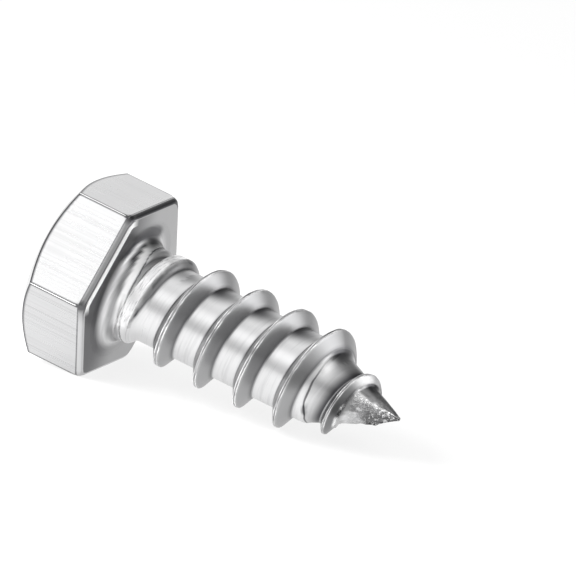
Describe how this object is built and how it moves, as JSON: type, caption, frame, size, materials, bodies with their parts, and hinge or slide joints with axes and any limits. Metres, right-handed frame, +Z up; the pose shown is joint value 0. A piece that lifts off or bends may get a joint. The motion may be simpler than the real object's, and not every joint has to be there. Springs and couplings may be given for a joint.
{
  "type": "lag screw",
  "caption": "Hexagon head lag screw with a chamfered head, a short filleted neck, a coarse left-hand wood thread and a tapered point.",
  "frame": {"origin": "centre of the bounding box's underside, on the surface that the screw lies on", "axes": "+X along the longest extent, from the head to the tip; the axis of the screw drops from head to tip by 8.37 degrees, because the screw lies on a wrench flat's front edge and on its thread; +Z up"},
  "size_m": [0.0292, 0.015, 0.0136],
  "materials": {
    "screw_steel": "bright bare or clear zinc-plated steel, brushed on the wrench flats, satin on the thread, rough at the pinched tip"
  },
  "bodies": {
    "root": {"lag_screw": "screw_steel"}
  },
  "joints": []
}
